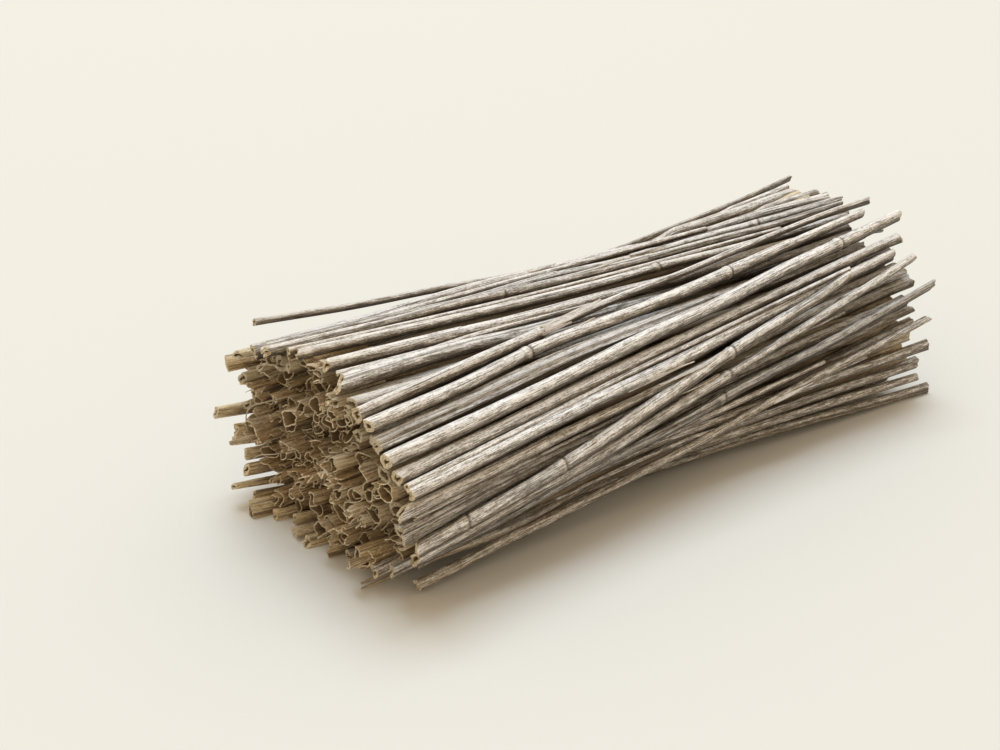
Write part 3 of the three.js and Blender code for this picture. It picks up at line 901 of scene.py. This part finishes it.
def folded_strips(tips):
    """Leaf strips folded between the inner stalks, which end at the near cut."""
    rng = np.random.default_rng(SEED + 4)
    along = FOLD_RINGS
    corner = np.arange(FOLD_PARTS + 1)
    at = np.arange(FOLD_STEPS * FOLD_PARTS + 1) / FOLD_STEPS
    strips = []
    for i in rng.permutation(len(tips))[:FOLDS]:
        tip, place, size = tips[i]
        heading = any_turn(rng)
        bends = rng.choice((-1.0, 1.0), FOLD_PARTS) * rng.uniform(*FOLD_BENDS, FOLD_PARTS)
        turns = heading + np.cumsum(bends)
        lengths = rng.uniform(*FOLD_LENGTHS, FOLD_PARTS)[:, None]
        steps = lengths * np.column_stack([np.cos(turns), np.sin(turns)])
        corners = np.concatenate([[[0.0, 0.0]], np.cumsum(steps, axis=0)])
        section = np.column_stack([np.interp(at, corner, corners[:, k]) for k in (0, 1)])
        section += place - section.mean(axis=0) + rng.normal(0.0, FOLD_SHIFT * size, 2)
        start = tip + rng.uniform(-STRIP_SHIFT, STRIP_SHIFT)
        torn = np.interp(at, corner, rng.uniform(-FOLD_TEAR, FOLD_TEAR, FOLD_PARTS + 1))
        grid = np.empty((len(along), len(at), 3))
        grid[..., 0] = start + along[:, None] + torn[None, :] * np.exp(-along / FOLD_TEAR_REACH)[:, None]
        flare = 1.0 + rng.uniform(*FOLD_FLARE) * np.exp(-along / OPEN_REACH)[:, None]
        for k in (0, 1):
            grid[..., k + 1] = place[k] + flare * (section[:, k] - place[k])[None, :]
        thickness, tone, shade = draws(rng, FOLD_LOOKS)
        strips.append(sheet(grid, thickness, rng, tone, shade))
    return strips


def between(first, second, near_gap, far_gap):
    """Two stalks along the stretch that they share, and the sum of their mean radii."""
    one, one_size, _ = read_stalk(first)
    other, other_size, _ = read_stalk(second)
    start = max(one[0, 0], other[0, 0]) + near_gap
    end = min(one[-1, 0], other[-1, 0]) - far_gap
    place = ring_places(start, end, STRAW_STEP, ())
    one = smooth(place, one[:, 0], one)
    other = smooth(place, other[:, 0], other)
    return one, other, one_size.mean() + other_size.mean()


def outwards(path):
    """Directions from the bundle's axis to each point of a stalk."""
    away = np.column_stack([np.zeros(len(path)), path[:, 1], path[:, 2] - AXIS_HEIGHT])
    return away / np.linalg.norm(away, axis=1)[:, None]


def thin_straw(path, size, rng):
    """A straw without knots that gets thinner towards its far end."""
    theta = np.arange(STRAW_SIDES) * math.tau / STRAW_SIDES
    path[:, 1] += wander(rng, path[:, 0], *STRAW_BEND)
    taper = size * np.linspace(1.0, STRAW_TIP, len(path))
    radius = taper[:, None] * (1.0 + ripples(rng, path[:, 0], theta, *STRAW_RIPPLES))
    cut = rough_cut(rng, theta, size, *STRAW_CUT)
    pockets = (POCKET[:3], FAR_POCKET[:3])
    tone, shade = draws(rng, STRAW_LOOKS)
    return tube(path, radius, STRAW_WALL * size, cut, cut, pockets, rng, tone, shade)


def thin_straws():
    """Thin straws in the grooves between neighbouring stalks, and straws where two stalks spread apart."""
    rng = np.random.default_rng(SEED + 5)
    straws = []
    for first, second in GROOVES:
        size = rng.uniform(*STRAW_RADII)
        one, other, sizes = between(first, second, *draws(rng, GROOVE_INSETS))
        half = np.linalg.norm(other - one, axis=1) / 2
        touch = sizes / 2 + size
        rise = np.sqrt(np.clip(touch**2 - half**2, 0.0, None))
        middle = (one + other) / 2
        rise = np.minimum(rise, STRAW_RISE * touch)
        straws.append(thin_straw(middle + outwards(middle) * rise[:, None], size, rng))
    for first, second, share, size, room in GAPS:
        one, other, sizes = between(first, second, *draws(rng, GAP_INSETS))
        width = np.linalg.norm(other - one, axis=1)
        path = one + share * (other - one)
        bulge = share * (1.0 - share) * width**2 / (4.0 * BUNDLE_RADIUS)
        sink = np.clip(room - (width - sizes), 0.0, STRAW_SINK * size)
        straws.append(thin_straw(path + outwards(path) * (bulge - sink)[:, None], size, rng))
    return straws


def fibre(points, size, rng, tone, shade, blunt=FIBRE_BLUNT):
    """A solid splinter through points, tapering to both ends down to a share of its size."""
    points = np.asarray(points, dtype=float)
    walk = walked(points)
    at = np.linspace(0.0, walk[-1], FIBRE_RINGS)
    path = smooth(at, walk, points)
    taper = np.clip(np.minimum(at, walk[-1] - at) / (FIBRE_TAPER * walk[-1]), blunt, 1.0) * size
    _, front, up = frames_along(path)
    sides = FIBRE_SIDES
    theta = np.arange(sides) * math.tau / sides
    rings = np.cos(theta)[None, :, None] * front[:, None] + np.sin(theta)[None, :, None] * up[:, None]
    surface = path[:, None] + rings * taper[:, None, None]
    points = np.concatenate([surface.reshape(-1, 3), path[:1], path[-1:]])
    last = (len(at) - 1) * sides
    count = len(at) * sides
    rolled = [np.tile(np.cos(theta), len(at)), np.tile(np.sin(theta), len(at)), np.repeat(at, sides)]
    grain = np.concatenate([np.column_stack(rolled), np.zeros((2, 3))])
    grain = grain + rng.uniform(-GRAIN_SPREAD, GRAIN_SPREAD, 3)
    quads = ring_quads(0, len(at), sides, True)
    fans = np.concatenate([floor_fans(0, count, sides, True), floor_fans(last, count + 1, sides, False)])
    marks = marked(len(points), tone, FIBRE_RIM, 0.0, 0.0)
    # One level of painted light all over
    return body(points, quads, fans, grain, marks, LOOSE_PAINTED_LIGHT, shade)


def peel(number, at, length, turn, width, lift, rng):
    """A strip of sheath that follows a stalk from a place along it and curls off at its end."""
    centres, radii, _ = read_stalk(number)
    part = np.linspace(0.0, 1.0, PEEL_RINGS)
    place = at + length * part
    path = smooth(place, centres[:, 0], centres)
    _, front, up = frames_along(path)
    size = np.interp(place, centres[:, 0], radii) * FULLNESS
    outline = np.sin(math.pi * np.clip(part + PEEL_LEAD, 0.0, 1.0))
    taper = width * (PEEL_ROOT + (1.0 - PEEL_ROOT) * outline) * (1.0 - PEEL_TAPER * part)
    column = np.linspace(-0.5, 0.5, PEEL_COLUMNS)[None, :]
    across = math.radians(turn) + (taper / size)[:, None] * column
    wave = PEEL_WAVE * np.sin(PEEL_WAVES * part + rng.uniform(*PHASES)) * part
    off = (size + PEEL_CLEARANCE + lift * part**2 + wave)[:, None]
    round_it = np.cos(across)[..., None] * front[:, None] + np.sin(across)[..., None] * up[:, None]
    grid = path[:, None] + off[..., None] * round_it
    return sheet(grid, PEEL_THICKNESS, rng, *draws(rng, PEEL_LOOKS), PEEL_PAINTED_LIGHT)


def peels():
    """Strips of sheath on the stalks that the photograph shows: those seen there, and a few short ones."""
    rng = np.random.default_rng(SEED + 3)
    strips = [peel(*row, rng) for row in PEELS]
    for number in rng.permutation(np.arange(FIRST_REGULAR, SHOWN + 1))[:SHORT_PEELS]:
        centres, _, _ = read_stalk(number)
        at = rng.uniform(centres[0, 0] + PEEL_INSETS[0], centres[-1, 0] - PEEL_INSETS[1])
        strips.append(peel(number, at, *draws(rng, SHORT_PEEL), rng))
    return strips


def loose_fibres(tips):
    """The loose fibres that the photograph shows, and short ones that stick out among the cut stalks."""
    rng = np.random.default_rng(SEED + 2)
    fibres = [fibre(points, size, rng, *FIBRE_LOOK) for points, size in FIBRES]
    for i in rng.permutation(len(tips))[:STRAY_FIBRES]:
        tip, place, size = tips[i]
        turn = any_turn(rng)
        edge = np.array([place[0] + size * math.cos(turn), place[1] + size * math.sin(turn)])
        lean = rng.normal(0.0, STRAY_LEAN, 2)
        out = rng.uniform(*STRAY_OUT)
        held = [(tip + depth, *edge) for depth in STRAY_HELD]
        loose = [(tip - 0.5 * out, *(edge + 0.4 * lean)), (tip - out, *(edge + lean))]
        thickness, tone, shade = draws(rng, STRAY_LOOKS)
        fibres.append(fibre(held + loose, thickness, rng, tone, shade))
    return fibres


def put(name, data):
    """An object of the scene."""
    thing = bpy.data.objects.new(name, data)
    bpy.context.scene.collection.objects.link(thing)
    return thing


def piece(name, bodies, material, slot, *nodes):
    """One object joined from arrays, riding with the part in place of nodes."""
    start = np.cumsum([0] + [len(one["points"]) for one in bodies])
    points = np.concatenate([one["points"] for one in bodies]) * MM
    quads = np.concatenate([one["quads"] + first for one, first in zip(bodies, start)])
    fans = np.concatenate([one["fans"] + first for one, first in zip(bodies, start)])
    mesh = bpy.data.meshes.new(name)
    mesh.from_pydata(points.tolist(), [], quads.tolist() + fans.tolist())
    for label, kind, field in FIELDS:
        values = np.concatenate([one[label] for one in bodies]).astype(np.float32)
        mesh.attributes.new(label, kind, "POINT").data.foreach_set(field, values.ravel())
    mesh.materials.append(material)
    mesh.shade_smooth()
    mesh.set_sharp_from_angle(angle=math.radians(SHARP_EDGE))
    thing = put(name, mesh)
    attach(thing, "root")
    if nodes:
        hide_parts(*nodes)


class Shader:
    """A material and short ways to add nodes to it."""

    def __init__(self, name):
        self.material = bpy.data.materials.new(name)
        self.material.use_nodes = True
        self.tree = self.material.node_tree
        self.tree.nodes.clear()

    def put(self, value, socket):
        if isinstance(value, bpy.types.NodeSocket):
            self.tree.links.new(value, socket)
        else:
            socket.default_value = value

    def add(self, kind, inputs=(), **settings):
        node = self.tree.nodes.new(kind)
        for key, value in settings.items():
            setattr(node, key, value)
        for key, value in dict(inputs).items():
            self.put(value, node.inputs[key])
        return node

    def field(self, name):
        return self.add("ShaderNodeAttribute", attribute_name=name).outputs

    def noise(self, vector, stretch, detail, roughness):
        scaled = self.add("ShaderNodeVectorMath", {0: vector, 1: stretch}, operation="MULTIPLY")
        inputs = {"Vector": scaled.outputs[0], "Scale": 1.0, "Detail": detail, "Roughness": roughness}
        return self.add("ShaderNodeTexNoise", inputs).outputs["Fac"]

    def span(self, value, low, high, start=0.0, end=1.0):
        inputs = {"Value": value, "From Min": low, "From Max": high, "To Min": start, "To Max": end}
        return self.add("ShaderNodeMapRange", inputs, clamp=True).outputs["Result"]

    def maths(self, kind, first, second, clamp=False):
        return self.add("ShaderNodeMath", {0: first, 1: second}, operation=kind, use_clamp=clamp).outputs[0]

    def mix(self, amount, first, second, kind="MIX"):
        node = self.add("ShaderNodeMix", data_type="RGBA", blend_type=kind)
        self.put(amount, node.inputs[0])
        self.put(first, node.inputs[MIX_FIRST])
        self.put(second, node.inputs[MIX_SECOND])
        return node.outputs[MIX_RESULT]

    def surface(self, look):
        surface = self.add("ShaderNodeBsdfPrincipled", look)
        self.add("ShaderNodeOutputMaterial", {"Surface": surface.outputs[0]})
        return self.material


def straw(name, grey, tan, pale, warm, streak_and_shade):
    """Weathered straw: grain along the stalk, dark streaks and specks, painted highlight where it faces up
    and out, painted shade where it faces down and in, brown hollows and pale cuts.
    """
    shader = Shader(name)
    grain = shader.field("grain")["Vector"]
    marks = shader.field("marks")
    shade = shader.field("shade")["Fac"]
    painted_light = shader.field("painted_light")["Fac"]
    parts = shader.add("ShaderNodeSeparateColor", {"Color": marks["Color"]})
    tone, rim, inside = (parts.outputs[k] for k in range(3))
    dark = marks["Alpha"]
    kinds = (FINE, GRIT, LINES, BROAD, BLOTCH, SPECK)
    fine, grit, lines, broad, blotch, speck = (shader.noise(grain, *kind) for kind in kinds)

    mixed = shader.maths("ADD", tone, shader.span(broad, *BROAD_RANGE), True)
    plain = shader.mix(mixed, srgb(*grey), srgb(*tan))
    # Painted highlight copies of the grey, the tan and the gold
    painted_highlight = shader.mix(mixed, srgb(*pale), srgb(*warm))
    golden = shader.span(tone, *GOLD_RANGE)
    plain = shader.mix(golden, plain, srgb(*GOLD))
    painted_highlight = shader.mix(golden, painted_highlight, srgb(*PAINTED_HIGHLIGHT_GOLD))
    # Painted light: facing up and out turns to the painted highlight, facing down and in to painted shade in
    # the streak colour, both broken by the grain
    light = painted_light
    for field, weight in ((fine, FINE_WEIGHT), (grit, GRIT_WEIGHT), (blotch, BLOTCH_WEIGHT)):
        light = shader.maths("ADD", light, shader.span(field, *GRAIN_RANGE, weight, -weight))
    colour = shader.mix(shader.span(light, *PAINTED_SHADE_RANGE), srgb(*streak_and_shade), plain)
    colour = shader.mix(shader.span(light, *PAINTED_HIGHLIGHT_RANGE), colour, painted_highlight)
    colour = shader.mix(shader.span(lines, *LINE_RANGE), colour, srgb(*streak_and_shade))
    colour = shader.mix(shader.span(speck, *SPECK_RANGE), colour, srgb(*SPECK_COLOUR))
    # Dark marks on the outer wall: lines at sheath edges and knots, and painted shade under a sheath's torn
    # end and deep inside the bundle
    outside = shader.maths("MULTIPLY", dark, shader.span(inside, *OUTSIDE_RANGE))
    colour = shader.mix(outside, colour, srgb(*GROOVE_AND_SHADE_COLOUR))
    # Hollows: painted shade the deeper they go, with streaks
    hollow = shader.mix(shader.span(dark, *HOLLOW_SHADE_RANGE), srgb(*HOLLOW), srgb(*HOLLOW_PAINTED_SHADE))
    hollow = shader.mix(shader.span(fine, *HOLLOW_STREAK_RANGE), hollow, srgb(*HOLLOW_STREAK))
    colour = shader.mix(inside, colour, hollow)
    cut = shader.mix(shader.span(speck, *DULL_RANGE), srgb(*RIM), srgb(*DULL_RIM))
    colour = shader.mix(shader.span(rim, *RIM_RANGE), colour, cut)
    # Each stalk's shade: a tone that differs at random, with painted shade on the second layer
    shades = shader.add("ShaderNodeCombineColor", {0: shade, 1: shade, 2: shade}).outputs[0]
    colour = shader.mix(1.0, colour, shades, "MULTIPLY")

    rough = shader.span(fine, *ROUGH_RANGE)
    height = shader.maths("SUBTRACT", shader.maths("MULTIPLY", speck, SPECK_HEIGHT), fine)
    bump = {"Height": height, "Strength": BUMP_STRENGTH, "Distance": BUMP_HEIGHT}
    normal = shader.add("ShaderNodeBump", bump).outputs[0]
    look = {"Base Color": colour, "Roughness": rough, "Normal": normal, "Specular IOR Level": SHINE}
    return shader.surface(look)


def pale_floor():
    """A plain pale floor."""
    shader = Shader("pale_floor")
    material = shader.surface({"Base Color": srgb(*FLOOR_COLOUR), "Roughness": FLOOR_ROUGHNESS})
    mesh = bpy.data.meshes.new("floor")
    corners = [(x * FLOOR_HALF, y * FLOOR_HALF, 0.0) for x, y in ((-1, -1), (1, -1), (1, 1), (-1, 1))]
    mesh.from_pydata(corners, [], [(0, 1, 2, 3)])
    mesh.materials.append(material)
    put("floor", mesh)


def stand(name, data, place, target):
    """A lamp or a camera at place that faces target."""
    thing = put(name, data)
    thing.location = place
    thing.rotation_euler = (Vector(target) - Vector(place)).to_track_quat("-Z", "Y").to_euler()
    return thing


def studio():
    """Soft light from above and the photograph's view."""
    world = bpy.data.worlds.new("studio")
    world.use_nodes = True
    ground = world.node_tree.nodes["Background"]
    ground.inputs["Color"].default_value = ROUND_COLOUR
    ground.inputs["Strength"].default_value = ROUND_STRENGTH
    bpy.context.scene.world = world
    lamp = bpy.data.lights.new("top", "AREA")
    lamp.size = LAMP_SIZE
    lamp.energy = LAMP_POWER
    lamp.color = LAMP_COLOUR
    stand("top", lamp, LAMP_PLACE, (0.0, 0.0, 0.0))
    camera = bpy.data.cameras.new("photo")
    camera.lens = LENS
    camera.sensor_width = SENSOR
    camera.clip_start = CLOSEST_VIEW
    bpy.context.scene.camera = stand("photo", camera, EYE, AIM)
    bpy.context.scene.view_settings.view_transform = "Standard"


weathered = straw("weathered_straw", *WEATHERED)
cut_straw = straw("cut_straw", *CUT_STRAW)
for number in range(1, STALKS + 1):
    piece(f"culm_{number:02d}", [culm(number)], weathered, "straw", f"stalk_{number:02d}")
inner, nested_culms, inner_tips = inner_stalks()
piece("inner_culms", inner, cut_straw, "cut_straw", "middle_stalks")
piece("sheath_scraps", nested_culms + sheath_scraps(inner_tips), cut_straw, "cut_straw")
piece("folded_leaves", folded_strips(inner_tips), cut_straw, "cut_straw")
piece("thin_straws", thin_straws(), weathered, "straw")
piece("peeled_sheath", peels(), weathered, "straw")
piece("loose_fibres", loose_fibres(inner_tips), cut_straw, "cut_straw")
pale_floor()
studio()
